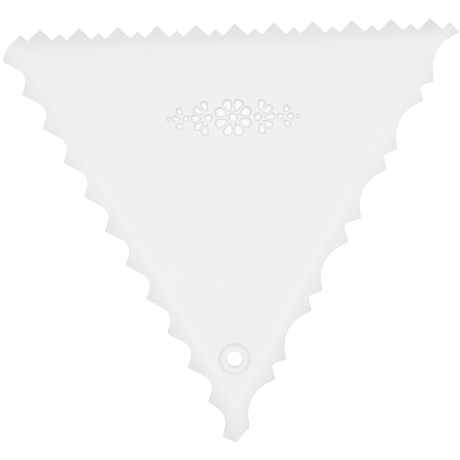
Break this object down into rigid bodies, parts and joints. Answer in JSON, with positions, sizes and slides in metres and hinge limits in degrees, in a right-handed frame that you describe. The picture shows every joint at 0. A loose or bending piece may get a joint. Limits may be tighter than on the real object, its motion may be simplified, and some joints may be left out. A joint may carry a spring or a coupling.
{
  "type": "triangle icing comb",
  "caption": "Flat triangular plate with a different row of teeth along each bevelled edge, for combing patterns into icing, and a hang hole near its tip.",
  "frame": {"origin": "on the flat back, under the middle of the comb's box", "axes": "+X along the saw-toothed side, +Y from the hanging tip towards that side, +Z out of the bevelled face"},
  "size_m": [0.1288, 0.1178, 0.0026],
  "materials": {
    "white_plastic": "smooth satin moulding"
  },
  "bodies": {
    "root": {"icing_comb": "white_plastic"}
  },
  "joints": []
}
